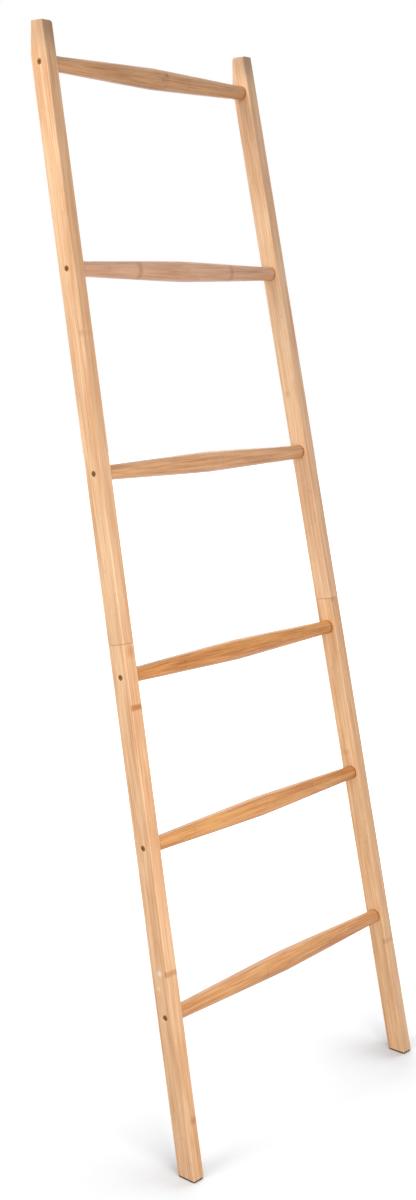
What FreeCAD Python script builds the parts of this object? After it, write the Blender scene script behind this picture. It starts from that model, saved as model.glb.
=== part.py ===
"""Leaning blanket ladder in bamboo, shown as it leans on a wall.

Millimetres. +Z is up, the floor is Z = 0, +X runs along the rungs to the right as seen from the room
and the wall stands on the +Y side. The origin is on the floor under the middle of the ladder's box.

Two rails draw together towards the top. Each rail is two lengths, joined end to end on a hidden tongue.
Six turned rungs are held between the rails by a countersunk screw at each end. The feet are cut level
with the floor and stand on thin pads, and the rails' top back corners are cut flat to the wall.

Three drawing frames are used. A rail is drawn in the frame of the ladder as if it stood upright: X along
the rungs, Z up the slope, Y square to both, with the ladder's middle line on the Z axis. A rung and its
screws are drawn about the rung's middle line. A pad is drawn level. Each Placement then puts the piece
in its place.
"""
import FreeCAD, Part
import Sketcher
import math
import os

SIZES = [
    # alias, value in mm or degrees, what it is
    ("lean_angle", 11.2, "angle between the ladder and the wall"),
    ("rail_length", 1800.0, "middle line of the ladder, floor to top cut"),
    ("foot_width", 600.0, "over the rails at the floor"),
    ("top_width", 500.0, "over the rails at the top"),
    ("rail_width", 23.0, "rail section along the rungs"),
    ("rail_depth", 34.0, "rail section square to the rungs"),
    ("rail_rounding", 2.0, "radius of the rail's long edges"),
    ("top_rounding", 7.0, "radius of the inner corner on top of a rail"),
    ("rounding_overrun", 0.2, "how far that corner's arc runs past the two faces it joins"),
    ("wall_flat_height", 58.0, "height of the flat that meets the wall"),
    ("joint_height", 840.0, "floor to the joint in each rail, up the slope"),
    ("joint_gap", 0.4, "open line between the two lengths of a rail"),
    ("first_rung", 256.0, "floor to the lowest rung, up the slope"),
    ("rung_below_joint", 51.0, "joint down to the nearest rung of the lower lengths"),
    ("rung_above_joint", 265.0, "joint up to the nearest rung of the upper lengths"),
    ("rung_below_top", 63.0, "top down to the highest rung"),
    ("rung_end", 24.0, "rung diameter at the rails"),
    ("rung_belly", 34.0, "rung diameter at the middle"),
    ("taper_bend", 118.0, "radius that bows a rung's tapers, as a multiple of their length"),
    ("rung_neck", 26.0, "straight neck beside each rail"),
    ("screw_head", 9.4, "diameter of the countersunk head"),
    ("screw_sink", 0.6, "head's face below the rail's outer face"),
    ("screw_shank", 6.0, "diameter of the screw's shank"),
    ("screw_length", 46.0, "screw from the top of the head to the tip"),
    ("shank_clearance", 0.1, "screw shank to the hole in the rail"),
    ("pilot_clearance", 0.05, "screw shank to the bore in the rung"),
    ("pilot_spare", 3.0, "bore in the rung past the screw's tip"),
    ("pad_thickness", 3.0, "pad under each foot"),
    ("pad_inset", 0.5, "pad's edge inside the foot's edge"),
    ("tongue_length", 60.0, "loose tongue across the joint, along the rail"),
    ("tongue_width", 18.0, "tongue's width, front to back"),
    ("tongue_thickness", 8.0, "tongue's thickness, across the ladder"),
    ("tongue_clearance", 0.1, "play of the tongue on its four long faces"),
    ("tongue_end_clearance", 0.5, "play at each end of the tongue"),
    ("cut_margin", 5.0, "how far cutting profiles run past a face"),
]

LEFT, RIGHT = -1, 1
SIDES = {"left": LEFT, "right": RIGHT}
LOWER_RUNGS, RUNG_COUNT = 3, 6
QUARTER_RISE = (1 - math.cos(math.pi / 4)) / (2 * math.sin(math.pi / 4))
SHALLOW_RISE = 0.001
SIN, COS, TAN = (f"{f}(Sizes.lean_angle)" for f in ("sin", "cos", "tan"))

doc = FreeCAD.newDocument("BlanketLadder")


# ---------------------------------------------------------------- sizes and formulas

def make_sheet():
    """Write every driving size to the spreadsheet, one row each."""
    sheet = doc.addObject("Spreadsheet::Sheet", "Sizes")
    for row, (alias, value, note) in enumerate(SIZES, start=1):
        sheet.set(f"A{row}", alias)
        sheet.set(f"B{row}", str(value))
        sheet.set(f"C{row}", note)
        sheet.setAlias(f"B{row}", alias)
    doc.recompute()
    return sheet


def size(alias):
    """Formula that reads one size from the sheet."""
    return f"Sizes.{alias}"


def rung_height(number):
    """Formula for a rung's height up the slope; rung 1 is the lowest.

    In each length the outer two rungs are placed from the floor, the joint or the top, and the one
    between them stands half way.
    """
    if number <= LOWER_RUNGS:
        low, high = "Sizes.first_rung", "(Sizes.joint_height - Sizes.rung_below_joint)"
        step = number - 1
    else:
        low = "(Sizes.joint_height + Sizes.rung_above_joint)"
        high = "(Sizes.rail_length - Sizes.rung_below_top)"
        step = number - LOWER_RUNGS - 1
    return f"({low} + ({high} - {low}) * {step} / {LOWER_RUNGS - 1})"


def half_width(height):
    """Formula for half the ladder's width over the rails at a height up the slope."""
    return (f"(Sizes.foot_width / 2 - (Sizes.foot_width - Sizes.top_width) / 2"
            f" * ({height}) / Sizes.rail_length)")


def rail_x(side, height, inwards="0"):
    """Formula for X on a rail at a height, some distance in from the outer face."""
    return f"{side} * ({half_width(height)} - ({inwards}))"


# Level top, wall plane and floor plane, in the room's own Y and Z before the origin is shifted.
TOP_LEVEL = f"(Sizes.rail_length * {COS})"
WALL_FOOT = f"(({TOP_LEVEL} - Sizes.wall_flat_height + Sizes.rail_depth / 2 * {SIN}) / {COS})"
WALL_PLANE = f"(Sizes.rail_depth / 2 * {COS} + {WALL_FOOT} * {SIN})"
FOOT_FRONT = f"(Sizes.pad_thickness * {TAN} - Sizes.rail_depth / 2 / {COS})"
ORIGIN_BACK = f"(({WALL_PLANE} + {FOOT_FRONT}) / 2)"


# ---------------------------------------------------------------- drawing helpers

def new_body(label):
    """Empty body with its own label."""
    body = doc.addObject("PartDesign::Body", label)
    body.Label = label
    return body


def plane(body, role):
    """One of the body's own origin planes, by its role."""
    return next(item for item in body.Origin.OriginFeatures if item.Role == role)


def new_sketch(body, name, role):
    """Sketch on one of the body's own origin planes."""
    sketch = body.newObject("Sketcher::SketchObject", f"{body.Label}_{name}")
    sketch.AttachmentSupport = [(plane(body, role), "")]
    sketch.MapMode = "FlatFace"
    return sketch


def pin_point(sketch, geometry, end, across, up):
    """Fix one end of a line at formulas for its two coordinates."""
    for kind, formula in (("DistanceX", across), ("DistanceY", up)):
        index = sketch.addConstraint(Sketcher.Constraint(kind, -1, 1, geometry, end, 1.0))
        sketch.setExpression(f"Constraints[{index}]", formula)


def draw_outline(sketch, corners, closed=True):
    """Straight lines through corners given as pairs of formulas, anticlockwise."""
    count = len(corners)
    lines = count if closed else count - 1
    turn = [2 * math.pi * i / count for i in range(count + 1)]
    start = [FreeCAD.Vector(math.cos(a), math.sin(a), 0) for a in turn]
    for i in range(lines):
        sketch.addGeometry(Part.LineSegment(start[i], start[i + 1]), False)
    for i in range(1, count if closed else lines):
        sketch.addConstraint(Sketcher.Constraint("Coincident", i - 1, 2, i, 1))
    if closed:
        sketch.addConstraint(Sketcher.Constraint("Coincident", lines - 1, 2, 0, 1))
    for i, (across, up) in enumerate(corners):
        line, end = (i, 1) if i < lines else (lines - 1, 2)
        pin_point(sketch, line, end, across, up)


def draw_arc(sketch, first, second, radius, rise):
    """Arc from one line's end anticlockwise to another's, of a formula's radius.

    Each end is a pair: the number of the line and which of its ends, 1 or 2. The rise is the first
    guess at how far the arc bulges, as a share of the straight distance between its ends.
    """
    doc.recompute()
    start, end = (sketch.getPoint(*corner) for corner in (first, second))
    outwards = FreeCAD.Vector(end.y - start.y, start.x - end.x, 0)
    arc = sketch.addGeometry(Part.Arc(start, (start + end) * 0.5 + outwards * rise, end), False)
    sketch.addConstraint(Sketcher.Constraint("Coincident", arc, 1, *first))
    sketch.addConstraint(Sketcher.Constraint("Coincident", arc, 2, *second))
    index = sketch.addConstraint(Sketcher.Constraint("Radius", arc, sketch.Geometry[arc].Radius))
    sketch.setExpression(f"Constraints[{index}]", radius)


def draw_axis(sketch, first, second):
    """Construction line that a profile turns about."""
    line = sketch.addGeometry(Part.LineSegment(FreeCAD.Vector(0, 0, 0), FreeCAD.Vector(1, 1, 0)), True)
    pin_point(sketch, line, 1, *first)
    pin_point(sketch, line, 2, *second)


def add_feature(body, kind, name, **settings):
    """Feature at the end of the body's history, with the settings given."""
    feature = body.newObject(f"PartDesign::{kind}", f"{body.Label}_{name}")
    for key, value in settings.items():
        setattr(feature, key, value)
    return feature


def pad(body, sketch, name, length, both_ways=False):
    """Pad a sketch by a formula for its length."""
    feature = add_feature(body, "Pad", name, Profile=sketch, Midplane=both_ways)
    feature.setExpression("Length", length)
    sketch.Visibility = False
    return feature


def cut_through(body, sketch, name):
    """Pocket a sketch through everything on both sides of its plane."""
    before = checked_volume(body)
    feature = add_feature(body, "Pocket", name, Profile=sketch, Type="ThroughAll", Midplane=True)
    expect_smaller(body, before, feature)
    return feature


def cut_both_ways(body, sketch, name, length):
    """Pocket a sketch by a formula for its length, half to each side of its plane."""
    before = checked_volume(body)
    feature = add_feature(body, "Pocket", name, Profile=sketch, Midplane=True)
    feature.setExpression("Length", length)
    expect_smaller(body, before, feature)
    return feature


def cut_turned(body, name, corners, axis):
    """Groove a stepped profile about an axis in the XZ plane."""
    before = checked_volume(body)
    sketch = new_sketch(body, name, "XZ_Plane")
    draw_outline(sketch, corners)
    draw_axis(sketch, *axis)
    feature = add_feature(body, "Groove", f"{name}_cut", Profile=sketch, Angle=360.0,
                          ReferenceAxis=(sketch, ["Axis0"]))
    expect_smaller(body, before, feature)
    return feature


def turn_about(body, sketch, axis):
    """Revolve a sketch about one of its own axes."""
    return add_feature(body, "Revolution", "turned", Profile=sketch, Angle=360.0,
                       ReferenceAxis=(sketch, [axis]))


def checked_volume(body):
    """Volume of the body as it stands."""
    doc.recompute()
    return body.Shape.Volume


def expect_smaller(body, before, feature):
    """Stop if a cut took nothing away."""
    doc.recompute()
    if not body.Shape.Volume < before:
        raise RuntimeError(f"{feature.Label} cuts nothing")


def edges_where(body, test):
    """Names of the edges of the body as it stands that pass a test."""
    doc.recompute()
    return [f"Edge{i}" for i, edge in enumerate(body.Tip.Shape.Edges, start=1) if test(edge)]


def dress(body, kind, name, edges, setting, formula):
    """Fillet or chamfer edges of the body's last feature."""
    feature = add_feature(body, kind, name, Base=(body.Tip, edges))
    feature.setExpression(setting, formula)
    doc.recompute()
    return feature


def place(body, across="0", along_slope="0", level=False):
    """Place a body by formulas: X, height up the slope, and the lean unless it is level."""
    body.Placement = FreeCAD.Placement(FreeCAD.Vector(), FreeCAD.Rotation(FreeCAD.Vector(1, 0, 0), -1))
    if level:
        body.Placement = FreeCAD.Placement()
    else:
        body.setExpression("Placement.Rotation.Angle", "-Sizes.lean_angle * 1 deg")
    body.setExpression("Placement.Base.x", across)
    body.setExpression("Placement.Base.y", f"({along_slope}) * {SIN} - {ORIGIN_BACK}")
    body.setExpression("Placement.Base.z", f"({along_slope}) * {COS}")


# ---------------------------------------------------------------- rails

def rail_outline(side, bottom, top):
    """Corners of one rail length seen from the room, leaning in towards the top."""
    width = size("rail_width")
    return [(rail_x(side, bottom), bottom), (rail_x(side, top), top),
            (rail_x(side, top, width), top), (rail_x(side, bottom, width), bottom)]


def foot_trim():
    """Side view of what the level cut takes off a foot."""
    reach, below = size("rail_depth"), "-Sizes.rail_depth"
    level = f"(Sizes.pad_thickness + {{}} * {SIN}) / {COS}"
    return [(f"-{reach}", level.format(f"(-{reach})")), (reach, level.format(reach)),
            (reach, below), (f"-{reach}", below)]


def top_trim():
    """Side view of what the level top cut and the upright wall cut take off."""
    reach = size("rail_depth")
    above = f"Sizes.rail_length + 2 * {reach}"
    corner = (f"{WALL_PLANE} * {COS} - {TOP_LEVEL} * {SIN}", f"{WALL_PLANE} * {SIN} + {TOP_LEVEL} * {COS}")
    return [(f"-{reach}", f"Sizes.rail_length - {reach} * {TAN}"), corner,
            (reach, f"({WALL_PLANE} - {reach} * {COS}) / {SIN}"), (reach, above), (f"-{reach}", above)]


def cut_screw_hole(body, side, number):
    """Countersunk hole for the screw that holds one end of a rung."""
    height, margin, sink = rung_height(number), size("cut_margin"), size("screw_sink")
    head = "(Sizes.screw_head / 2)"
    shank = "(Sizes.screw_shank / 2 + Sizes.shank_clearance)"
    steps = [(f"-{margin}", "0"), (f"-{margin}", f"{head} + {sink} + {margin}"),
             (f"{sink} + {head} - {shank}", shank), (f"Sizes.rail_width + {margin}", shank),
             (f"Sizes.rail_width + {margin}", "0")]
    corners = [(rail_x(side, height, inwards), f"{height} + {radius}") for inwards, radius in steps]
    axis = [(rail_x(side, height, f"-{margin}"), height), (rail_x(side, height, size("rail_width")), height)]
    cut_turned(body, f"screw_hole_{number}", corners, axis)


def cut_mortise(body, side, direction):
    """Half of the mortise for the loose tongue, up (+1) or down (-1) from the joint."""
    middle, joint = rail_x(side, size("joint_height"), "Sizes.rail_width / 2"), size("joint_height")
    half = "(Sizes.tongue_thickness / 2 + Sizes.tongue_clearance)"
    floor = f"{joint} + {direction} * (Sizes.tongue_length / 2 + Sizes.tongue_end_clearance)"
    mouth = f"{joint} - {direction} * Sizes.cut_margin"
    sketch = new_sketch(body, "mortise", "XZ_Plane")
    draw_outline(sketch, [(f"{middle} - {half}", mouth), (f"{middle} + {half}", mouth),
                          (f"{middle} + {half}", floor), (f"{middle} - {half}", floor)])
    cut_both_ways(body, sketch, "mortise_cut", "Sizes.tongue_width + 2 * Sizes.tongue_clearance")


def cut_top_corner(body, side):
    """Round the inner corner on top, drawn level so that the rounding follows the level top."""
    sketch = new_sketch(body, "top_corner", "XZ_Plane")
    sketch.AttachmentOffset = FreeCAD.Placement(FreeCAD.Vector(), FreeCAD.Rotation(FreeCAD.Vector(1, 0, 0), 1))
    sketch.setExpression("AttachmentOffset.Rotation.Angle", "Sizes.lean_angle * 1 deg")
    past, margin, radius = size("rounding_overrun"), size("cut_margin"), size("top_rounding")
    face = f"({half_width(size('rail_length'))} - Sizes.rail_width)"
    steps = [(f"-{past}", f"{past} - {radius}"), (f"-{margin}", f"{past} - {radius}"),
             (f"-{margin}", margin), (f"{radius} - {past}", margin), (f"{radius} - {past}", past)]
    draw_outline(sketch, [(f"{side} * ({face} + {across})", f"{TOP_LEVEL} + {up}") for across, up in steps],
                 closed=False)
    ends = [(0, 1), (len(steps) - 2, 2)]
    draw_arc(sketch, *(ends if side == LEFT else reversed(ends)), radius, rise=QUARTER_RISE)
    cut_through(body, sketch, "top_corner_cut")


def value(alias):
    """One size as a number."""
    return getattr(doc.Sizes, alias)


def make_rail(name, side, is_upper):
    """One length of rail: slanted outline, rounded edges, trimmed end, bores and mortise."""
    body = new_body(name)
    outline = new_sketch(body, "outline", "XZ_Plane")
    if is_upper:
        bottom, top = "(Sizes.joint_height + Sizes.joint_gap / 2)", "(Sizes.rail_length + Sizes.rail_depth)"
    else:
        bottom, top = "(-Sizes.rail_depth)", "(Sizes.joint_height - Sizes.joint_gap / 2)"
    draw_outline(outline, rail_outline(side, bottom, top))
    pad(body, outline, "blank", size("rail_depth"), both_ways=True)
    along = edges_where(body, lambda edge: edge.BoundBox.ZLength > 2 * value("rail_depth"))
    dress(body, "Fillet", "long_edges", along, "Radius", size("rail_rounding"))
    trim = new_sketch(body, "trim", "YZ_Plane")
    draw_outline(trim, top_trim() if is_upper else foot_trim())
    cut_through(body, trim, "trim_cut")
    if is_upper:
        cut_top_corner(body, side)
    first = LOWER_RUNGS + 1 if is_upper else 1
    for number in range(first, first + LOWER_RUNGS):
        cut_screw_hole(body, side, number)
    cut_mortise(body, side, 1 if is_upper else -1)
    place(body)
    return body


# ---------------------------------------------------------------- rungs, screws, pins, pads

def cut_rung_end(body, word, side, clear):
    """Cut one end of a rung flush with the slanted inner face of its rail."""
    sketch = new_sketch(body, f"{word}_end", "XZ_Plane")
    reach, beyond = size("rung_belly"), f"{clear} + 2 * Sizes.rung_belly"
    slant = "(Sizes.foot_width - Sizes.top_width) / 2 / Sizes.rail_length"
    corners = [(f"{clear} + {reach} * {slant}", f"-{reach}"), (beyond, f"-{reach}"),
               (beyond, reach), (f"{clear} - {reach} * {slant}", reach)]
    draw_outline(sketch, [(f"{side} * ({across})", up) for across, up in corners])
    cut_through(body, sketch, f"{word}_end_cut")


def make_rung(number):
    """Turned rung: straight necks, two long bowed tapers that meet in the middle, bored for its screws."""
    body = new_body(f"rung_{number}")
    clear = f"({half_width(rung_height(number))} - Sizes.rail_width)"
    half = f"({clear} + {size('cut_margin')})"
    neck = f"({clear} - Sizes.rung_neck)"
    end, belly = "Sizes.rung_end / 2", "Sizes.rung_belly / 2"
    pilot = "(Sizes.screw_shank / 2 + Sizes.pilot_clearance)"
    reach = "(Sizes.screw_sink + Sizes.screw_length + Sizes.pilot_spare)"
    floor = f"({half_width(rung_height(number))} - {reach})"
    right = [(floor, "0"), (floor, pilot), (half, pilot), (half, end), (neck, end)]
    left = [(f"-{across}", up) for across, up in reversed(right)]
    sketch = new_sketch(body, "profile", "XZ_Plane")
    draw_outline(sketch, left + right, closed=False)
    crown = sketch.addGeometry(Part.Point(FreeCAD.Vector(0, value("rung_belly") / 2, 0)), True)
    pin_point(sketch, crown, 1, "0", belly)
    taper = f"sqrt({neck} * {neck} + ({belly} - {end}) * ({belly} - {end}))"
    radius = f"Sizes.taper_bend * {taper}"
    last_line = len(left + right) - 2
    draw_arc(sketch, (last_line, 2), (crown, 1), radius, SHALLOW_RISE)
    draw_arc(sketch, (crown, 1), (0, 1), radius, SHALLOW_RISE)
    turn_about(body, sketch, "H_Axis")
    for word, side in SIDES.items():
        cut_rung_end(body, word, side, clear)
    place(body, along_slope=rung_height(number))
    return body


def make_screws(number):
    """The two countersunk screws of a rung, one mirrored from the other."""
    body = new_body(f"rung_{number}_screws")
    body.AllowCompound = True
    head, shank = "(Sizes.screw_head / 2)", "(Sizes.screw_shank / 2)"
    steps = [("0", "0"), ("Sizes.screw_length", "0"), ("Sizes.screw_length", shank),
             (f"{head} - {shank}", shank), ("0", head)]
    profile = new_sketch(body, "profile", "XZ_Plane")
    face = f"({half_width(rung_height(number))} - Sizes.screw_sink)"
    draw_outline(profile, [(f"{face} - ({inwards})", up) for inwards, up in steps])
    screw = turn_about(body, profile, "H_Axis")
    body.Tip = add_feature(body, "Mirrored", "pair", Originals=[screw],
                           MirrorPlane=(plane(body, "YZ_Plane"), [""]))
    place(body, along_slope=rung_height(number))
    return body


def make_tongue(name, side):
    """Flat loose tongue that joins the two lengths of a rail."""
    body = new_body(name)
    sketch = new_sketch(body, "outline", "XZ_Plane")
    half, reach = "Sizes.tongue_thickness / 2", "Sizes.tongue_length / 2"
    draw_outline(sketch, [(f"-{half}", f"-{reach}"), (half, f"-{reach}"), (half, reach), (f"-{half}", reach)])
    pad(body, sketch, "slab", size("tongue_width"), both_ways=True)
    joint = size("joint_height")
    place(body, rail_x(side, joint, "Sizes.rail_width / 2"), joint)
    return body


def make_pad(name, side):
    """Thin level pad, a little inside the foot that stands on it."""
    body = new_body(name)
    sketch = new_sketch(body, "outline", "XY_Plane")
    across = "(Sizes.rail_width / 2 - Sizes.pad_inset)"
    deep = f"(Sizes.rail_depth / 2 / {COS} - Sizes.pad_inset)"
    draw_outline(sketch, [(f"-{across}", f"-{deep}"), (across, f"-{deep}"), (across, deep),
                          (f"-{across}", deep)])
    pad(body, sketch, "slab", size("pad_thickness"))
    foot = f"(Sizes.pad_thickness / {COS})"
    place(body, rail_x(side, foot, "Sizes.rail_width / 2"), level=True)
    body.setExpression("Placement.Base.y", f"Sizes.pad_thickness * {TAN} - {ORIGIN_BACK}")
    return body


# ---------------------------------------------------------------- the ladder

def make_ladder():
    """Every piece of the ladder, in one list."""
    pieces = []
    for word, side in SIDES.items():
        pieces.append(make_rail(f"{word}_lower_rail", side, is_upper=False))
        pieces.append(make_rail(f"{word}_upper_rail", side, is_upper=True))
        pieces.append(make_tongue(f"{word}_joint_tongue", side))
        pieces.append(make_pad(f"{word}_foot_pad", side))
    for number in range(1, RUNG_COUNT + 1):
        pieces.append(make_rung(number))
        pieces.append(make_screws(number))
    return pieces


def check_and_write(pieces):
    """Stop at any failed feature or bad shape, then write one file for each piece."""
    doc.recompute()
    for item in doc.Objects:
        if any(state in ("Invalid", "Error") for state in item.State):
            raise RuntimeError(f"{item.Label} failed: {item.State}")
    for piece in pieces:
        shape, wanted = piece.Shape, 2 if piece.Label.endswith("screws") else 1
        if shape.isNull() or not shape.isValid() or len(shape.Solids) != wanted:
            raise RuntimeError(f"{piece.Label} has not the valid solids it should")
    os.makedirs("parts", exist_ok=True)
    for piece in pieces:
        piece.Shape.exportStep(os.path.join("parts", f"{piece.Label}.step"))
        box = piece.Shape.BoundBox
        print(f"{piece.Label}: {piece.Shape.Volume / 1000:.1f} cm3,"
              f" X {box.XMin:.1f}..{box.XMax:.1f} Y {box.YMin:.1f}..{box.YMax:.1f}"
              f" Z {box.ZMin:.1f}..{box.ZMax:.1f}")


make_sheet()
check_and_write(make_ladder())
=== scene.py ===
# %% [markdown]
# # A leaning blanket ladder in bamboo
#
# The object is a ladder of two bamboo rails and six turned rungs that leans on a wall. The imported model
# gives every piece its place and size, in metres, with +Z up and the wall on the +Y side. This script
# dresses that model: it gives the straight rails a laminated bamboo finish, and puts finer surfaces over
# the turned rungs, the screws and the foot pads. Each step says what the real thing is, and why it is
# made the way it is.

import bpy
import math
import numpy as np
from mathutils import Euler, Matrix, Vector


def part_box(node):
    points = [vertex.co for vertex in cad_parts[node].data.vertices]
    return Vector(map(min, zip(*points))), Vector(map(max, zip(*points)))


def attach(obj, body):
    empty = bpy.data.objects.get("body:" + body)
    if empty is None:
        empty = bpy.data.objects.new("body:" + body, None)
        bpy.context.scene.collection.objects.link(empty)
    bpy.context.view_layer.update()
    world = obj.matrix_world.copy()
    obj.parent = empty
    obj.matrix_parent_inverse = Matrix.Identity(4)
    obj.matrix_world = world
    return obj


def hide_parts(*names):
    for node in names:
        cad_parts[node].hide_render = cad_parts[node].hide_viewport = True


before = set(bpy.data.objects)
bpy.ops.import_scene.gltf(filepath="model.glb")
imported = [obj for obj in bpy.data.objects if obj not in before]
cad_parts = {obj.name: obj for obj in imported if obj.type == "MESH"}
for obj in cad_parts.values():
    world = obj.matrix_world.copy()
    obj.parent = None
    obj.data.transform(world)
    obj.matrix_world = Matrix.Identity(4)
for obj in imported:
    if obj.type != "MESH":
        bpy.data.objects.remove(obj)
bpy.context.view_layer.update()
print("nodes:", sorted(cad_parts))

# %% [markdown]
# ## The ladder's own directions
#
# A leaning thing is easiest to work on in its own directions. The ladder leans by 11.2 degrees, so "up the
# slope" and "out of its front" are two fixed vectors. The rails also draw together towards the top, each by
# 50 mm over its 1.8 m, which gives each of them a small turn of its own. A rung's place is read from the
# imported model, and only the sizes that a bounding box can't give are written here.

# %% Directions and sizes
LEAN = math.radians(11.2)
DRAW_IN = 0.050 / 1.800
UP_SLOPE = np.array([0.0, math.sin(LEAN), math.cos(LEAN)])
FRONT = np.array([0.0, -math.cos(LEAN), math.sin(LEAN)])
ACROSS = np.array([1.0, 0.0, 0.0])
RAIL_WIDTH, RAIL_DEPTH = 0.023, 0.034
HALF_FOOT_WIDTH, PAD_THICKNESS = 0.300, 0.003
RUNGS = range(1, 7)
SIDES = {"left": -1, "right": 1}


def middle(node):
    """Middle of a node's box: (lowest corner + highest corner) / 2."""
    low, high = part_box(node)
    return np.array((low + high) / 2)


for number in RUNGS:
    print(f"rung {number} sits at", middle(f"rung_{number}").round(4))

# %% [markdown]
# ## A surface from rings of points
#
# Everything turned on a lathe is a stack of rings. If each ring holds the same number of points, the whole
# surface is one array: ring number by point number by coordinate. Neighbouring rings are joined by squares,
# and the first and last ring close on a single point, a pole, so that the surface has no hole. The ring
# list runs so that faces look outwards, which matters for bump and for export.

# %% Rings to a mesh
def closed_mesh(name, *stacks):
    """Mesh of one or more closed stacks of rings.

    Point j of ring i joins point j + 1 of the same ring and the two above them, with j counted round the
    ring. The first and last rings shrink to one point each, and triangles fan out from it.
    """
    points, faces, base = [], [], 0
    for rings in stacks:
        count, around = rings.shape[:2]
        points.append(rings[0].mean(0, keepdims=True))
        points.append(rings[1:-1].reshape(-1, 3))
        points.append(rings[-1].mean(0, keepdims=True))
        body = base + 1 + np.arange((count - 2) * around).reshape(count - 2, around)
        beside = np.roll(body, -1, axis=1)
        squares = np.stack([body[:-1], beside[:-1], beside[1:], body[1:]], -1).reshape(-1, 4)
        last = base + 1 + (count - 2) * around
        first_fan = np.stack([np.full(around, base), beside[0], body[0]], -1)
        last_fan = np.stack([np.full(around, last), body[-1], beside[-1]], -1)
        faces += squares.tolist() + first_fan.tolist() + last_fan.tolist()
        base = last + 1
    mesh = bpy.data.meshes.new(name)
    mesh.from_pydata(np.concatenate(points).tolist(), [], faces)
    mesh.shade_smooth()
    mesh.set_sharp_from_angle(angle=math.radians(35))
    mesh.update()
    return mesh


def turned_rings(along, radius, axis, origin, around=96, shape=None):
    """Rings about an axis: point = origin + along * axis + radius * shape(t) * (cos t * front + sin t * up).

    The front is the ladder's, up is the axis crossed with it, and shape(t) is 1 for a round ring.
    """
    t = np.linspace(0, 2 * np.pi, around, endpoint=False)
    up = np.cross(axis, FRONT)
    out = np.cos(t)[:, None] * FRONT + np.sin(t)[:, None] * up
    stretch = np.ones((len(along), around)) if shape is None else shape(t)
    reach = np.asarray(radius)[:, None, None] * stretch[..., None] * out[None]
    return np.asarray(origin) + np.asarray(along)[:, None, None] * axis + reach


print("one ring has", turned_rings([0.0], [1.0], ACROSS, (0.0, 0.0, 0.0)).shape[1], "points")

# %% [markdown]
# ## Two ways to dress a node
#
# A node whose shape is already right only needs a finish. A node that deserves a finer surface gets a new
# piece in its place, which hides the node that it replaces, and gets its material slot and the body that it
# rides on.

# %% Pieces and finishes
def new_piece(mesh, replaced, material):
    """Object for a mesh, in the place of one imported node, riding with the ladder."""
    piece = bpy.data.objects.new(mesh.name, mesh)
    bpy.context.scene.collection.objects.link(piece)
    piece.data.materials.append(material)
    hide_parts(replaced)
    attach(piece, "root")
    print(f"{mesh.name}: {len(mesh.vertices)} points, {len(mesh.polygons)} faces")


def dress(node, material):
    """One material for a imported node, whose mesh stays as it is."""
    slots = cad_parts[node].data.materials
    slots.clear()
    slots.append(material)
    print(node, "wears", material.name)


print(len(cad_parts), "nodes to dress")

# %% [markdown]
# ## Colours and nodes
#
# A colour is written as people read it, as six hex digits in sRGB, and turned to the linear numbers that a
# renderer adds up. One function places a node, sets its own fields and joins its inputs, so that a material
# reads from top to bottom like a recipe.

# %% Colour and node helpers
def linear(hex_colour):
    """Linear colour of an sRGB hex value: c / 12.92 when small, else ((c + 0.055) / 1.055) ** 2.4."""
    c = np.array([int(hex_colour[i:i + 2], 16) for i in (1, 3, 5)]) / 255
    c = np.where(c <= 0.04045, c / 12.92, ((c + 0.055) / 1.055) ** 2.4)
    return (*c.tolist(), 1.0)


def add(tree, kind, inputs=None, give=0, **fields):
    """Places one node, sets its fields, fills its inputs with sockets or constants, returns an output.

    The last node of a tree has no output, and for it nothing is returned.
    """
    node = tree.nodes.new("ShaderNode" + kind)
    for field, value in fields.items():
        setattr(node, field, value)
    for key, value in (inputs or {}).items():
        if isinstance(value, bpy.types.NodeSocket):
            tree.links.new(value, node.inputs[key])
        else:
            node.inputs[key].default_value = value
    return node.outputs[give] if node.outputs else None


def new_material(name):
    """Empty node material and its tree."""
    material = bpy.data.materials.new(name)
    material.use_nodes = True
    material.node_tree.nodes.clear()
    return material, material.node_tree


print("mid bamboo in linear light:", np.round(linear("#E9BE8C"), 3))

# %% [markdown]
# ## Laminated bamboo
#
# Bamboo can't be sawn into thick boards. The cane's wall is planed into strips a few millimetres thick,
# which are glued side by side and pressed. So a bamboo bar shows straight, fine fibres along its length,
# faint steps of tone from strip to strip, and here and there a brown line straight across one strip, where
# the cane had a joint, called a node. The lacquer is clear and satin.
#
# The pattern is worked out in the bar's own directions: x across the strips' faces, y through the stack of
# strips and z along the fibres. An image would have to be wrapped round every bar, while a pattern made from
# places in space cuts through the bar like real grain and meets itself on every edge. It comes in steps, and
# the first is the stack of strips: a whole number made from y names the strip.

# %% Strips and glue lines
STRIP = RAIL_DEPTH / 6


def gap_to(tree, value, target):
    """Distance of a value from a target: |value - target|."""
    gap = add(tree, "Math", {0: value, 1: target}, operation="SUBTRACT")
    return add(tree, "Math", {0: gap}, operation="ABSOLUTE")


def strips(tree, y, seed):
    """Strip number = whole part of y / thickness + start, and the fraction left is the place within it.

    Returns a chance value of each strip's own, and a mask that is 1 on the fine glue lines.
    """
    count = add(tree, "Math", {0: y, 1: 1 / STRIP}, operation="MULTIPLY")
    count = add(tree, "Math", {0: count, 1: 20.0 + seed * 7}, operation="ADD")
    strip = add(tree, "Math", {0: count}, operation="FLOOR")
    chance = add(tree, "TexWhiteNoise", {"W": strip}, noise_dimensions="1D")
    within = add(tree, "Math", {0: count}, operation="FRACT")
    glue = add(tree, "MapRange", {"Value": gap_to(tree, within, 0.5), "From Min": 0.455, "From Max": 0.495})
    return chance, glue


print(f"strips {STRIP * 1000:.1f} mm thick")

# %% [markdown]
# The second step is the fibres: noise that is stretched along z. Real fibres are about 0.3 mm wide, too fine
# for one picture of a tall ladder, so they are drawn 0.7 mm wide, and most of the contrast is put in bundles
# 3 mm wide. Each scale is a number of grains per metre, so 340 across gives bundles 3 mm wide.

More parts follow.
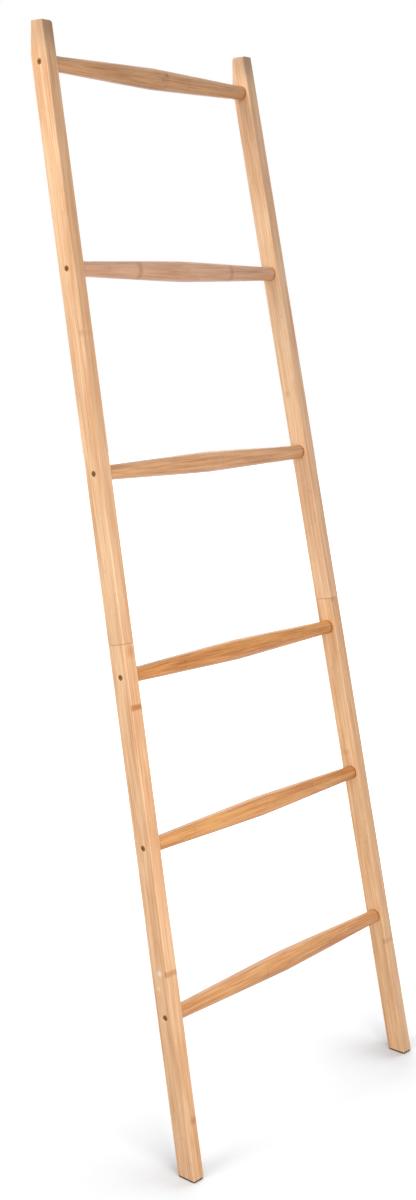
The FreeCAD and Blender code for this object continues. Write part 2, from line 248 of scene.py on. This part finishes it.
# %% Fibres
BUNDLES = (340.0, 340.0, 7.0)  # 3 mm wide, 140 mm long
FIBRES = (1400.0, 1400.0, 40.0)  # 0.7 mm wide, 25 mm long
DRIFTS = (55.0, 55.0, 8.0)  # slow changes of tone, 18 mm wide, 125 mm long
WAVES = (204.0, 204.0, 4.2)  # the waver of the nodes' lines, 5 mm wide


def stretched_noise(tree, place, per_metre, detail, roughness=0.5):
    """Noise with so many grains per metre in each direction: noise(place * per_metre)."""
    grain_at = add(tree, "VectorMath", {0: place, 1: per_metre}, operation="MULTIPLY")
    return add(tree, "TexNoise", {"Vector": grain_at, "Scale": 1.0, "Detail": detail, "Roughness": roughness})


print("fibres drawn", round(1000 / FIBRES[0], 1), "mm wide, bundles", round(1000 / BUNDLES[0], 1), "mm wide")

# %% [markdown]
# The third step is the nodes. Each strip has one every 0.31 m, at heights of its own, but most are pale on a
# bar that was planed and sanded. The few strong ones of a bar are listed: height, middle and half width
# through the stack, and strength.

# %% Nodes
NODE_SPACING = 0.31


def node_lines(tree, y, z, waves, chance, marks):
    """Mask of the brown lines, from 0 to 1.

    Weak lines: |fraction of (height / spacing + chance) - 1/2| * spacing is the distance to the nearest.
    Strong lines: |height - mark| is the distance, where |y - middle| is within the half width.
    """
    waver = add(tree, "MapRange", {"Value": waves, "To Min": -0.0012, "To Max": 0.0012})
    height = add(tree, "Math", {0: z, 1: waver}, operation="ADD")
    turns = add(tree, "Math", {0: height, 1: 1 / NODE_SPACING}, operation="MULTIPLY")
    turns = add(tree, "Math", {0: turns, 1: chance}, operation="ADD")
    turns = add(tree, "Math", {0: turns}, operation="FRACT")
    away = add(tree, "Math", {0: gap_to(tree, turns, 0.5), 1: NODE_SPACING}, operation="MULTIPLY")
    lines = add(tree, "MapRange", {"Value": away, "From Min": 0.0008, "From Max": 0.0040,
                                   "To Min": 0.10, "To Max": 0.0}, interpolation_type="SMOOTHSTEP")
    for up, across, half, strength in marks:
        line = add(tree, "MapRange", {"Value": gap_to(tree, height, up),
                                      "From Min": 0.0016, "From Max": 0.0075,
                                      "To Min": strength, "To Max": 0.0}, interpolation_type="SMOOTHSTEP")
        held = add(tree, "MapRange", {"Value": gap_to(tree, y, across),
                                      "From Min": half, "From Max": half + 0.001,
                                      "To Min": 1.0, "To Max": 0.0})
        line = add(tree, "Math", {0: line, 1: held}, operation="MULTIPLY")
        lines = add(tree, "Math", {0: lines, 1: line}, operation="MAXIMUM")
    return lines


print("weak nodes every", NODE_SPACING, "m of each strip")

# %% [markdown]
# The last step before the recipe is wear. Handled wood and rubbed steel change first on their edges. The
# Bevel node gives the normal that the surface would have with its edges rounded. Where it differs from the
# true normal, the surface is close to an edge.

# %% Worn edges
def worn_edges(tree, band, sharp, flat, strength):
    """Rounded normal, and a mask with the given strength on edges, from the dot product of both normals.

    The mask is full where the dot product is below sharp, and nothing where it is above flat.
    """
    true_normal = add(tree, "NewGeometry", give="Normal")
    soft_normal = add(tree, "Bevel", {"Radius": band}, samples=4)
    bend = add(tree, "VectorMath", {0: true_normal, 1: soft_normal}, give="Value", operation="DOT_PRODUCT")
    worn = add(tree, "MapRange", {"Value": bend, "From Min": sharp, "From Max": flat,
                                  "To Min": strength, "To Max": 0.0})
    return soft_normal, worn


print("normals 30 degrees apart have a dot product of", round(math.cos(math.radians(30)), 2))

# %% [markdown]
# Now the finish itself. Its colour runs from pale to deep by fibre, strip and drift, then to brown at the
# nodes and glue lines, and at a thin dark line by each end of a rung, partly a glue joint and partly painted
# contact shade. Stains, filled pits and the darker top ends of the upper rails are soft balls of colour
# placed at points of the bar. The lacquer is a thin coat over the wood, a little smoother than the wood under
# it.

# %% Bamboo material
def bamboo(name, turn, start, pale, deep, brown, seed, marks, spots=(), streak=1.0):
    """Satin lacquered, laminated bamboo.

    turn and start take a point to the bar's own directions: local = turn * (point - start).
    pale, deep and brown are the tones of the light fibres, the dark fibres and the nodes.
    marks lists the strong nodes, and on the rungs the thin dark line at each end, partly glue and partly
    painted contact shade: height along z, middle and half width in y, strength from 0 to 1.
    spots lists stains, filled pits and the darker top ends of the upper rails: point in the bar's directions,
    radius, strength, colour.
    """
    material, tree = new_material(name)
    turn = Euler(turn)
    shift = -(turn.to_matrix() @ Vector(start))
    place = add(tree, "TexCoord", give="Object")
    local = add(tree, "Mapping", {"Vector": place, "Location": shift, "Rotation": turn})
    split = add(tree, "SeparateXYZ", {"Vector": local}).node.outputs
    chance, glue = strips(tree, split["Y"], seed)

    # each bar takes its grain from a place of its own in the noise
    moved = add(tree, "VectorMath", {0: local, 1: (seed * 1.7, seed * 2.3, seed * 3.1)}, operation="ADD")
    bundles = stretched_noise(tree, moved, BUNDLES, 3.0, 0.6)
    fibres = stretched_noise(tree, moved, FIBRES, 2.0)
    drift = stretched_noise(tree, moved, DRIFTS, 2.0)
    waves = stretched_noise(tree, moved, WAVES, 1.0)
    nodes_and_end_shade = node_lines(tree, split["Y"], split["Z"], waves, chance, marks)

    # colour: pale to deep by fibre, strip and drift, then brown at nodes, glue lines and the rungs' painted
    # end shade
    part = add(tree, "MapRange", {"Value": bundles, "From Min": 0.32, "From Max": 0.68,
                                  "To Min": -0.10 * streak, "To Max": 0.72 * streak})
    fine = add(tree, "MapRange", {"Value": fibres, "From Min": 0.30, "From Max": 0.75,
                                  "To Min": -0.16 * streak, "To Max": 0.22 * streak})
    step = add(tree, "MapRange", {"Value": chance, "To Min": -0.13, "To Max": 0.17})
    wide = add(tree, "MapRange", {"Value": drift, "From Min": 0.35, "From Max": 0.65,
                                  "To Min": -0.14, "To Max": 0.32})
    share = add(tree, "Math", {0: part, 1: fine}, operation="ADD")
    share = add(tree, "Math", {0: share, 1: step}, operation="ADD")
    share = add(tree, "Math", {0: share, 1: wide}, operation="ADD", use_clamp=True)
    colour = add(tree, "Mix", {0: share, 6: linear(pale), 7: linear(deep)}, give=2, data_type="RGBA")
    dark = add(tree, "Math", {0: glue, 1: 0.16}, operation="MULTIPLY")
    dark = add(tree, "Math", {0: dark, 1: nodes_and_end_shade}, operation="MAXIMUM")
    colour = add(tree, "Mix", {0: dark, 6: colour, 7: linear(brown)}, give=2, data_type="RGBA")

    # stains, filled pits and the darker top ends of the upper rails: full at their middle, gone at their
    # radius
    for point, radius, strength, tint in spots:
        off = add(tree, "VectorMath", {0: local, 1: point}, give="Value", operation="DISTANCE")
        spot = add(tree, "MapRange", {"Value": off, "From Min": 0.0, "From Max": radius,
                                      "To Min": strength, "To Max": 0.0}, interpolation_type="SMOOTHSTEP")
        colour = add(tree, "Mix", {0: spot, 6: colour, 7: linear(tint)}, give=2, data_type="RGBA")

    # the lacquer is thin on edges, so a band of about 1 mm there is faintly paler
    soft_normal, worn = worn_edges(tree, 0.0011, 0.86, 0.995, 0.12)
    colour = add(tree, "Mix", {0: worn, 6: colour, 7: linear(pale)}, give=2, data_type="RGBA")

    rough = add(tree, "MapRange", {"Value": bundles, "To Min": 0.36, "To Max": 0.56})
    relief = add(tree, "Math", {0: fibres, 1: glue}, operation="SUBTRACT")
    relief = add(tree, "Math", {0: relief, 1: nodes_and_end_shade}, operation="ADD")
    normal = add(tree, "Bump", {"Strength": 0.35, "Distance": 0.00012, "Height": relief,
                                "Normal": soft_normal})
    surface = add(tree, "BsdfPrincipled", {"Base Color": colour, "Roughness": rough, "Normal": normal,
                                           "IOR": 1.5, "Coat Weight": 0.25, "Coat Roughness": 0.30})
    add(tree, "OutputMaterial", {"Surface": surface})
    return material


# %% [markdown]
# ## The rails
#
# Each rail is a plain planed bar, so the imported shape is already right and only its finish is missing. The
# four lengths come from four bars, so each has tones and small marks of its own, and the upper lengths are
# darker towards their top ends. A rail's own directions start on its middle line at the floor, turned by the
# lean and by the small angle at which the rails draw together.

# %% Dress the rails
RAIL_TONES = {
    "left_lower_rail": ("#FACD9F", "#D79A66", "#B46A1E"),
    "left_upper_rail": ("#FACE9F", "#D69C6A", "#A0602A"),
    "right_lower_rail": ("#FCCE9D", "#D99A65", "#9C5A24"),
    "right_upper_rail": ("#FCD2A5", "#DCA171", "#A0602A"),
}
RAIL_MARKS = {
    "left_lower_rail": [(0.325, -0.0150, 0.0025, 0.60), (0.741, -0.0165, 0.0005, 0.85)],
    "left_upper_rail": [(1.320, -0.0135, 0.004, 0.25)],
    "right_lower_rail": [(0.209, -0.0135, 0.004, 0.35), (0.560, 0.0030, 0.006, 0.20)],
    "right_upper_rail": [(1.210, 0.0040, 0.006, 0.20)],
}
# The spot at 1.79 m on each upper rail darkens the rail's top end to a greyish brown.
RAIL_SPOTS = {
    "left_lower_rail": [((-0.0115, -0.001, 0.326), 0.0075, 0.90, "#FFEEDF"),
                        ((-0.0115, 0.005, 0.302), 0.0060, 0.45, "#FFEEDF"),
                        ((0.0045, -0.017, 0.091), 0.0105, 0.60, "#B0642C"),
                        ((0.0020, -0.017, 0.828), 0.0160, 0.45, "#B46A1E")],
    "left_upper_rail": [((0.0115, -0.017, 1.790), 0.0600, 0.75, "#8E6C4C")],
    "right_lower_rail": [((-0.0067, -0.017, 0.838), 0.0080, 0.40, "#7A5E38")],
    "right_upper_rail": [((0.0, -0.017, 1.790), 0.0500, 0.55, "#90705A")],
}
floor_y = middle("left_foot_pad")[1] - PAD_THICKNESS * math.tan(LEAN)
for seed, (name, marks) in enumerate(RAIL_MARKS.items(), start=1):
    side = SIDES[name.split("_")[0]]
    turn = (LEAN, side * math.atan(DRAW_IN), 0.0)
    start = (side * (HALF_FOOT_WIDTH - RAIL_WIDTH / 2), floor_y, 0.0)
    finish = bamboo(f"laminated_bamboo_satin_{name}", turn, start, *RAIL_TONES[name], seed, marks,
                    RAIL_SPOTS[name])
    dress(name, finish)

# %% [markdown]
# ## The rungs
#
# A rung is turned from a laminated blank that was steamed first, which cooks the sugar in the bamboo and
# browns it all the way through. So the rungs are caramel where the rails are honey. On a lathe the profile
# is everything: a straight neck beside each rail, then a long taper that bows out a little, up to the
# thickest place in the middle. The bow follows a circle's arc. The ends are cut at the rails' slant, so the
# last ring is slid along the rung by its own height times that slant.

# %% Turn the rungs
NECK_RADIUS, BELLY_RADIUS, NECK_LENGTH, NECK_RING = 0.012, 0.017, 0.026, 0.012
TAPER_BEND = 118.0
PILOT_RADIUS, PILOT_DEPTH = 0.00305, 0.0266
RUNG_TONES = {
    1: ("#E9AD70", "#BF773A", "#7A431A"), 2: ("#E6A660", "#BC702E", "#7A431A"),
    3: ("#E5A050", "#AE6424", "#703C17"), 4: ("#E4AC78", "#BC7E4C", "#7A4A24"),
    5: ("#E2B08A", "#C28A64", "#A45E40"), 6: ("#DDA672", "#B07342", "#98512A"),
}
RUNG_MARKS = {
    1: [], 2: [(-0.110, 0.004, 0.004, 0.20)], 3: [(0.130, 0.002, 0.004, 0.20)], 4: [],
    5: [(-0.109, -0.006, 0.011, 0.40), (0.117, -0.006, 0.011, 0.35)], 6: [(0.020, -0.006, 0.011, 0.12)],
}
RUNG_SPOTS = {
    6: [((-0.004, -0.0163, 0.021), 0.0060, 0.80, "#98512A"),
        ((0.004, -0.0160, 0.011), 0.0080, 0.35, "#98512A")],
}


def rung_rings(reach, centre):
    """Rings of one rung, from the bore in its left end to the bore in its right end.

    On a taper the radius is belly - chord slope * x + bow, where the bow is that of a circle whose radius
    is TAPER_BEND times the taper's length: bow = u * (length - u) / (2 * TAPER_BEND * length). On a neck
    the radius stays the same, so one ring at NECK_RING from its end is enough.
    """
    taper = reach - NECK_LENGTH
    u = np.linspace(0, taper, 41)
    bow = u * (taper - u) / (2 * TAPER_BEND * taper)
    half_radius = BELLY_RADIUS - (BELLY_RADIUS - NECK_RADIUS) * u / taper + bow
    x = np.concatenate([u, [reach - NECK_RING, reach, reach, reach - PILOT_DEPTH, reach - PILOT_DEPTH]])
    r = np.concatenate([half_radius, [NECK_RADIUS, NECK_RADIUS, PILOT_RADIUS, PILOT_RADIUS, 0.0]])
    x, r = np.concatenate([-x[:0:-1], x]), np.concatenate([r[:0:-1], r])
    rings = turned_rings(x, r, ACROSS, centre)
    height = (rings - centre) @ UP_SLOPE
    ends = np.isclose(np.abs(x), reach)[:, None]
    rings[..., 0] -= np.where(ends, np.sign(x)[:, None] * height * DRAW_IN, 0.0)
    return rings


for number in RUNGS:
    centre = middle(f"rung_{number}")
    reach = float(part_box(f"rung_{number}")[1].x) - NECK_RADIUS * DRAW_IN
    # a thin dark line where each end meets its rail, partly a glue joint and partly painted contact shade
    ends = [(-reach, 0.0, 0.02, 0.55), (reach, 0.0, 0.02, 0.55)]
    finish = bamboo(f"steamed_bamboo_turned_{number}", (LEAN, -math.pi / 2, 0.0), centre,
                    *RUNG_TONES[number], 10 + number, RUNG_MARKS[number] + ends,
                    RUNG_SPOTS.get(number, []), streak=1.1)
    new_piece(closed_mesh(f"rung_{number}_turned", rung_rings(reach, centre)), f"rung_{number}",
              finish)

# %% [markdown]
# ## The screws
#
# Each rung is held by a countersunk screw at each end. The head is a cone that sits in a cone-shaped seat,
# with a six-sided socket for a key. The steel has a thin dark brown oxide that hides it against wood, and its
# dark brown also paints the shade of a sunken screw hole over the flush head. A ring can change from round
# to six-sided if its radius follows the hexagon's own law: the distance to a flat side is fixed, so the
# radius is that distance over the cosine of the angle to its middle.

# %% Bronzed steel
def dark_steel_and_hole_shade():
    """Steel under a dark brown oxide, which makes it half metallic to the eye, and whose dark brown also
    paints the shade of a sunken screw hole.

    It is blotchy at 2 mm and grained at 0.3 mm, and rubbed brighter on its edges.
    """
    material, tree = new_material("steel_dark_and_painted_hole_shade")
    place = add(tree, "TexCoord", give="Object")
    blotch = add(tree, "TexNoise", {"Vector": place, "Scale": 450.0, "Detail": 4.0})
    grain = add(tree, "TexNoise", {"Vector": place, "Scale": 3000.0, "Detail": 2.0})
    share = add(tree, "MapRange", {"Value": blotch, "From Min": 0.35, "From Max": 0.65})
    # the dark browns: oxide, and painted shade of a sunken screw hole
    colour = add(tree, "Mix", {0: share, 6: linear("#7A4E26"), 7: linear("#9C6E3C")}, give=2,
                 data_type="RGBA")
    soft_normal, worn = worn_edges(tree, 0.00025, 0.85, 0.99, 0.5)
    colour = add(tree, "Mix", {0: worn, 6: colour, 7: linear("#A98A62")}, give=2, data_type="RGBA")
    rough = add(tree, "MapRange", {"Value": blotch, "To Min": 0.38, "To Max": 0.62})
    normal = add(tree, "Bump", {"Strength": 0.4, "Distance": 0.00003, "Height": grain, "Normal": soft_normal})
    surface = add(tree, "BsdfPrincipled", {"Base Color": colour, "Metallic": 0.5, "Roughness": rough,
                                           "Normal": normal})
    add(tree, "OutputMaterial", {"Surface": surface})
    return material


screw_steel_and_hole_shade = dark_steel_and_hole_shade()
print(screw_steel_and_hole_shade.name, "has", len(screw_steel_and_hole_shade.node_tree.nodes), "nodes")

# %% Cut the screws
HEAD_RADIUS, SHANK_RADIUS, SCREW_LENGTH = 0.0047, 0.003, 0.046
KEY_FLAT, KEY_DEPTH = 0.0020, 0.0014


def screw_rings(face, side, centre):
    """Rings of one screw, from the floor of its key socket to its tip.

    Each step is a distance in from the face, a radius, and 1 where the ring is six-sided. The hexagon's
    radius is its flat's distance / cos(t), with t counted from the middle of the nearest flat.
    """
    mouth, rim, tip = 0.0002, 0.0003, 0.002
    steps = [(KEY_DEPTH, 0, 1), (KEY_DEPTH, KEY_FLAT, 1), (mouth, KEY_FLAT, 1), (0, KEY_FLAT + mouth, 1),
             (0, HEAD_RADIUS - rim, 0), (rim / 3, HEAD_RADIUS - rim / 3, 0), (rim, HEAD_RADIUS - rim, 0),
             (HEAD_RADIUS - SHANK_RADIUS, SHANK_RADIUS, 0), (SCREW_LENGTH - tip, SHANK_RADIUS, 0),
             (SCREW_LENGTH, SHANK_RADIUS / 2, 0), (SCREW_LENGTH, 0, 0)]
    inwards, radius, is_hexagon = np.array(steps, float).T

    def shape(t):
        hexagon = 1 / np.cos((t + np.pi / 6) % (np.pi / 3) - np.pi / 6)
        return np.where(is_hexagon[:, None] > 0, hexagon[None], 1.0)

    axis = np.array([-side, 0.0, 0.0])
    return turned_rings(inwards, radius, axis, centre + side * face * ACROSS, around=48, shape=shape)


for number in RUNGS:
    node = f"rung_{number}_screws"
    centre, face = middle(node), float(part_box(node)[1].x)
    pair = [screw_rings(face, side, centre) for side in SIDES.values()]
    new_piece(closed_mesh(f"rung_{number}_screw_pair", *pair), node, screw_steel_and_hole_shade)

# %% [markdown]
# ## The foot pads
#
# A thin rubber pad under each foot keeps the ladder from sliding and from marking the floor. It is cut from
# sheet and its edges are slightly rounded. A rounded rectangle is a circle pushed outwards: raising the
# cosine and sine to a small power keeps the sides straight and only the corners round.

# %% Rubber
def sheet_rubber():
    """Dark brown sheet rubber: matt, with a leathery grain of 0.6 mm and paler dust in patches of 6 mm."""
    material, tree = new_material("rubber_sheet")
    place = add(tree, "TexCoord", give="Object")
    grain = add(tree, "TexVoronoi", {"Vector": place, "Scale": 1600.0})
    dust = add(tree, "TexNoise", {"Vector": place, "Scale": 180.0, "Detail": 4.0})
    share = add(tree, "MapRange", {"Value": dust, "From Min": 0.45, "From Max": 0.75})
    colour = add(tree, "Mix", {0: share, 6: linear("#3A2C24"), 7: linear("#6A5747")}, give=2,
                 data_type="RGBA")
    rough = add(tree, "MapRange", {"Value": dust, "To Min": 0.72, "To Max": 0.92})
    normal = add(tree, "Bump", {"Strength": 0.5, "Distance": 0.00008, "Height": grain})
    surface = add(tree, "BsdfPrincipled", {"Base Color": colour, "Roughness": rough, "Normal": normal,
                                           "IOR": 1.52})
    add(tree, "OutputMaterial", {"Surface": surface})
    return material


rubber = sheet_rubber()
print(rubber.name, "has", len(rubber.node_tree.nodes), "nodes")

# %% Cut the pads
SQUARENESS = 0.22


def pad_rings(low, high):
    """Rings of one pad: x = middle + half * sign(cos t) * |cos t| ** SQUARENESS, and y so with sin t."""
    low, high = np.array(low), np.array(high)
    centre, half = (low + high) / 2, (high - low) / 2
    t = np.linspace(0, 2 * np.pi, 96, endpoint=False)
    circle = np.stack([np.cos(t), np.sin(t)], -1)
    corner = np.sign(circle) * np.abs(circle) ** SQUARENESS
    inset = np.array([1.0, 0.0005, 0.00015, 0.0])
    level = np.array([0.0, 0.0, 0.00015, 0.0005])
    inset = np.concatenate([inset, inset[::-1]])
    level = np.concatenate([level, PAD_THICKNESS - level[::-1]])
    spread = np.maximum(half[:2] - inset[:, None], 0.0)
    flat = centre[:2] + corner[None] * spread[:, None]
    return np.concatenate([flat, np.broadcast_to(level[:, None, None], (*flat.shape[:2], 1))], -1)


for side in SIDES:
    node = f"{side}_foot_pad"
    new_piece(closed_mesh(f"{side}_foot_pad_cut", pad_rings(*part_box(node))), node, rubber)

# %% [markdown]
# ## The hidden tongues
#
# Inside each rail a flat beech tongue joins the two lengths. It never shows, but a part that is taken apart
# should look right too, so it gets plain planed beech: pale, with short darker flecks along the grain.

# %% Planed beech
def planed_beech():
    """Bare beech: pale pinkish brown, flecks 0.7 mm wide and 4 mm long, no lacquer."""
    material, tree = new_material("beech_planed")
    place = add(tree, "TexCoord", give="Object")
    local = add(tree, "Mapping", {"Vector": place, "Rotation": (LEAN, 0.0, 0.0)})
    fleck = stretched_noise(tree, local, (1400.0, 1400.0, 240.0), 3.0)
    share = add(tree, "MapRange", {"Value": fleck, "From Min": 0.40, "From Max": 0.70})
    colour = add(tree, "Mix", {0: share, 6: linear("#DDBB92"), 7: linear("#BE9166")}, give=2,
                 data_type="RGBA")
    rough = add(tree, "MapRange", {"Value": fleck, "To Min": 0.55, "To Max": 0.75})
    normal = add(tree, "Bump", {"Strength": 0.3, "Distance": 0.0001, "Height": fleck})
    surface = add(tree, "BsdfPrincipled", {"Base Color": colour, "Roughness": rough, "Normal": normal})
    add(tree, "OutputMaterial", {"Surface": surface})
    return material


beech = planed_beech()
for side in SIDES:
    dress(f"{side}_joint_tongue", beech)

# %% [markdown]
# ## Floor, light and air
#
# The ladder stands in a bright white room with no corners. The floor is one large square of pale paint, so
# that only soft shadows by the ladder show on it, partly cast by the lamps and partly painted. Away from the
# ladder it turns to the plain white of the air, and the line between them disappears. The air, called the
# world, looks white and gives the even part of the light, a little blue as from an overcast sky.
#
# White paint alone would need so much light that the wood would clip to white too. So the paint also glows a
# little, but only to the camera: the lamps stay low and the wood keeps its colour. The glow is taken away on
# the left of each foot, which paints a soft shadow there; no lamp casts it, and an ambient occlusion turned
# to the right gives its shape.

# %% White floor
GLOW_BY_FOOT, GLOW_BEHIND = 0.24, 0.45
GLOW_RISES_FROM, GLOW_RISES_TO = 0.42, 0.90
# the painted foot shadows: how far the occlusion looks, its range from full shadow to none, and its turn
SHADE_REACH, SHADED, OPEN = 0.22, 0.76, 0.98
PAINTED_SHADOW_TURN = (0.39, -0.46, 0.80)


def seen_ray(tree):
    """1 where the camera looks, straight, in a mirror or through glass, and 0 for the light that falls."""
    ray = add(tree, "LightPath").node.outputs
    seen = add(tree, "Math", {0: ray["Is Camera Ray"], 1: ray["Is Glossy Ray"]}, operation="MAXIMUM")
    return add(tree, "Math", {0: seen, 1: ray["Is Transmission Ray"]}, operation="MAXIMUM")


def floor_paint():
    """Matt white floor paint, which also glows a little to the camera, so that full light reads as white.

    Near the ladder the glow rises with x + y, from 0.24 by the left foot to 0.45 behind the ladder, because
    the front lamp stands on the left. From 0.42 to 0.90 m away it rises to 1. It falls to nothing on the left
    of each foot, where an ambient occlusion turned to the right finds the foot, which paints a soft shadow
    there. The light that the paint throws back is that of a warm mid grey.
    """
    material, tree = new_material("floor_matt_white")
    seen = seen_ray(tree)
    place = add(tree, "TexCoord", give="Object")
    cloud = add(tree, "TexNoise", {"Vector": place, "Scale": 2.0})
    white = add(tree, "Mix", {0: cloud, 6: linear("#E1E0DE"), 7: linear("#E5E4E2")}, give=2, data_type="RGBA")
    colour = add(tree, "Mix", {0: seen, 6: linear("#BCB1A2"), 7: white}, give=2, data_type="RGBA")

    away = add(tree, "VectorMath", {0: place}, give="Value", operation="LENGTH")
    far = add(tree, "MapRange", {"Value": away, "From Min": GLOW_RISES_FROM, "From Max": GLOW_RISES_TO},
              interpolation_type="SMOOTHSTEP")
    behind = add(tree, "VectorMath", {0: place, 1: (1.0, 1.0, 0.0)}, give="Value", operation="DOT_PRODUCT")
    near = add(tree, "MapRange", {"Value": behind, "From Min": -0.5, "From Max": 0.4,
                                  "To Min": GLOW_BY_FOOT, "To Max": GLOW_BEHIND})
    glow = add(tree, "Math", {0: far, 1: near}, operation="MAXIMUM")
    # painted shadow: the glow is taken away where the occlusion, turned to the right, finds a foot
    painted_shadow_turn = add(tree, "CombineXYZ", dict(zip("XYZ", PAINTED_SHADOW_TURN)))
    outside_painted_shadow = add(tree, "AmbientOcclusion", {"Normal": painted_shadow_turn, "Distance": SHADE_REACH}, give="AO",
                   samples=8)
    outside_painted_shadow = add(tree, "MapRange", {"Value": outside_painted_shadow, "From Min": SHADED, "From Max": OPEN})
    glow = add(tree, "Math", {0: glow, 1: seen}, operation="MULTIPLY")
    glow = add(tree, "Math", {0: glow, 1: outside_painted_shadow}, operation="MULTIPLY")
    surface = add(tree, "BsdfPrincipled", {"Base Color": colour, "Roughness": 0.9, "Specular IOR Level": 0.1,
                                           "Emission Color": linear("#FFFFFF"), "Emission Strength": glow})
    add(tree, "OutputMaterial", {"Surface": surface})
    return material


FLOOR_REACH = 9.0
corners = [(x * FLOOR_REACH, y * FLOOR_REACH, 0.0) for x, y in ((-1, -1), (1, -1), (1, 1), (-1, 1))]
ground = bpy.data.meshes.new("floor")
ground.from_pydata(corners, [], [(0, 1, 2, 3)])
ground.materials.append(floor_paint())
floor = bpy.data.objects.new("floor", ground)
bpy.context.scene.collection.objects.link(floor)
print("floor", 2 * FLOOR_REACH, "m wide")

# %% White air
world = bpy.data.worlds.new("white_room")
bpy.context.scene.world = world
world.use_nodes = True
air = world.node_tree
air.nodes.clear()
sky = add(air, "Mix", {0: seen_ray(air), 6: linear("#AFB4BC"), 7: linear("#FFFFFF")}, give=2,
          data_type="RGBA")
glow = add(air, "Background", {"Color": sky, "Strength": 1.0})
add(air, "OutputWorld", {"Surface": glow})
print(world.name, "has", len(air.nodes), "nodes")

# %% [markdown]
# ## Lamps
#
# Even light alone would make the ladder flat. Four soft lamps shape it. A strong one high on the left
# lights the rails' outer faces and fades downwards. One in front on the left is for the feet and the lower
# front faces, and gives each foot a second, fainter shadow behind it. A weak one stands between them. The
# last stands behind on the right, which the camera hardly notices, for the sides that face away.

# %% Lamps
def lamp(name, at, towards, width, watts):
    """Square soft lamp that looks along the line from its place to a point, and isn't seen itself."""
    light = bpy.data.lights.new(name, "AREA")
    light.size, light.energy = width, watts
    holder = bpy.data.objects.new(name, light)
    holder.location = at
    holder.rotation_euler = (Vector(towards) - Vector(at)).to_track_quat("-Z", "Y").to_euler()
    holder.visible_camera = False
    bpy.context.scene.collection.objects.link(holder)
    print(f"{name}: {watts} W, {width} m wide")


lamp("lamp_front", (-0.7, -1.2, 0.9), (0.0, 0.0, 0.3), 0.8, 11.1)
lamp("lamp_left_high", (-1.6, 0.5, 2.8), (-0.2, 0.1, 1.5), 0.8, 28.0)
lamp("lamp_left", (-1.1, -0.8, 1.6), (-0.2, 0.1, 1.5), 0.8, 2.8)
lamp("lamp_behind", (1.5, 1.3, 1.7), (0.1, 0.1, 0.9), 1.2, 8.0)
bpy.context.scene.view_settings.view_transform = "Standard"

# %% [markdown]
# ## The camera
#
# The photograph was taken from the front left, from 1.3 m above the floor and looking down a little. The
# camera's place, its turn and its lens were found by lining up the ladder's straight edges with the picture.
# The picture is 416 pixels wide and 1200 tall, and a camera's sensor width belongs to the longer side.

# %% Place the camera
PICTURE = (416, 1200)
FOCAL_PIXELS = 1588.17
CAMERA_PLACE = (-1.99218, -1.67986, 1.33125)
turn, tilt = math.radians(-49.1031), math.radians(10.3392)
back = Vector((math.sin(turn) * math.cos(tilt), -math.cos(turn) * math.cos(tilt), math.sin(tilt)))
right = Vector((math.cos(turn), math.sin(turn), 0.0))
axes = Matrix((right, back.cross(right), back)).transposed()
eye = bpy.data.cameras.new("camera")
eye.sensor_width = 36.0
eye.lens = FOCAL_PIXELS / max(PICTURE) * eye.sensor_width
camera = bpy.data.objects.new("camera", eye)
camera.matrix_world = Matrix.Translation(CAMERA_PLACE) @ axes.to_4x4()
bpy.context.scene.collection.objects.link(camera)
bpy.context.scene.camera = camera
print(f"lens {eye.lens:.2f} mm")
